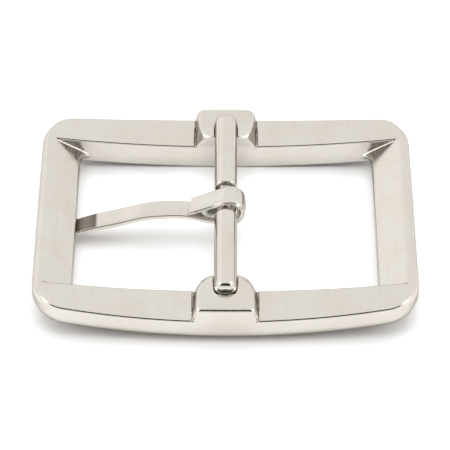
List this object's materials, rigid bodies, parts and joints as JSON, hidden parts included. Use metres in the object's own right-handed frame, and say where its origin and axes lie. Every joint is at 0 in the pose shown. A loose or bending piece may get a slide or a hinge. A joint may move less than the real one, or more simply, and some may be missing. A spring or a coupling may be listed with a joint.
{
  "type": "centre bar belt buckle",
  "caption": "Rectangular centre-bar belt buckle with a bowed cast frame, a necked cross bar set in raised lugs and a swinging bent-strip prong.",
  "frame": {"origin": "under the middle of the buckle, on the plane that the front of the frame rests on when the buckle lies face down", "axes": "+X along the belt, with the prong pointing to -X; +Y across the belt, along the bar; +Z from the front towards the back that faces the wearer"},
  "size_m": [0.0734, 0.0564, 0.0121],
  "materials": {
    "frame_plate": "satin nickel plate",
    "bar_plate": "bright nickel plate",
    "prong_plate": "satin nickel plate"
  },
  "bodies": {
    "frame": {"frame": "frame_plate", "centre_bar": "bar_plate"},
    "prong": {"prong": "prong_plate"}
  },
  "joints": [
    {"name": "prong", "type": "hinge", "parent": "frame", "child": "prong", "pos_m": [0, 0, 0.00946], "axis": [0, -1, 0], "range_deg": [0, 150]}
  ]
}
